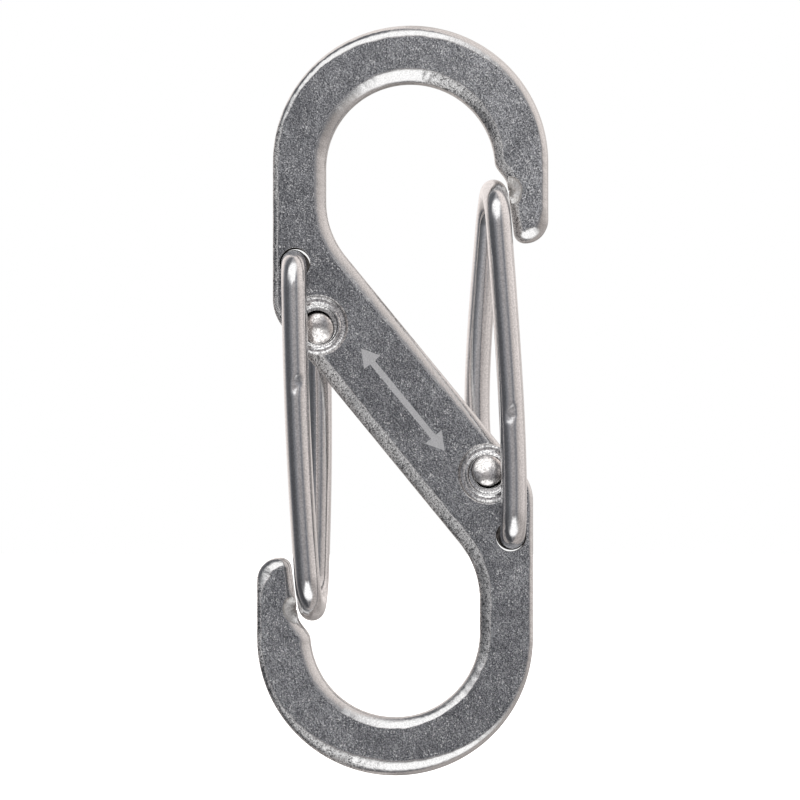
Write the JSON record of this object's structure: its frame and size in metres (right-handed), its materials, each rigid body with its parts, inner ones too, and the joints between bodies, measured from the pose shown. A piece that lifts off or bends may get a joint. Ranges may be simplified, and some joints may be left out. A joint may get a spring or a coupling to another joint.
{
  "type": "double-gated s carabiner",
  "caption": "Small flat S-shaped carabiner: a blanked steel plate with a hook at each end, each closed by a sprung wire gate.",
  "frame": {"origin": "the middle of the plate, which is the middle of the whole part", "axes": "+Z along the S towards the upper hook, +X towards the side where the upper hook opens, +Y from the front face to the back face"},
  "size_m": [0.0194, 0.006, 0.05],
  "materials": {
    "plate_steel": "tumbled stainless steel sheet, pitted satin face with softly polished edges",
    "gate_wire": "bright drawn stainless steel spring wire"
  },
  "bodies": {
    "frame": {"frame_plate": "plate_steel"},
    "upper_gate_front": {"upper_gate_front_leg": "gate_wire"},
    "upper_gate_back": {"upper_gate_back_leg": "gate_wire"},
    "lower_gate_front": {"lower_gate_front_leg": "gate_wire"},
    "lower_gate_back": {"lower_gate_back_leg": "gate_wire"}
  },
  "joints": [
    {"name": "upper_gate_swing", "type": "hinge", "parent": "frame", "child": "upper_gate_front", "pos_m": [0.00725, 0, -0.0091], "axis": [0, -1, 0], "range_deg": [0, 25], "stiffness_Nm_per_rad": 0.15, "springref_deg": -11.46},
    {"name": "upper_gate_twist", "type": "hinge", "parent": "upper_gate_front", "child": "upper_gate_back", "pos_m": [0.00394, 0, 0.01479], "axis": [0, -1, 0], "range_deg": [0, 5.6]},
    {"name": "lower_gate_swing", "type": "hinge", "parent": "frame", "child": "lower_gate_front", "pos_m": [-0.00725, 0, 0.0091], "axis": [0, -1, 0], "range_deg": [0, 25], "stiffness_Nm_per_rad": 0.15, "springref_deg": -11.46},
    {"name": "lower_gate_twist", "type": "hinge", "parent": "lower_gate_front", "child": "lower_gate_back", "pos_m": [-0.00394, 0, -0.01479], "axis": [0, -1, 0], "range_deg": [0, 5.6]}
  ],
  "couplings": [
    {"joint": "upper_gate_twist", "follows": "upper_gate_swing", "ratio": 0.223},
    {"joint": "lower_gate_twist", "follows": "lower_gate_swing", "ratio": 0.223}
  ]
}
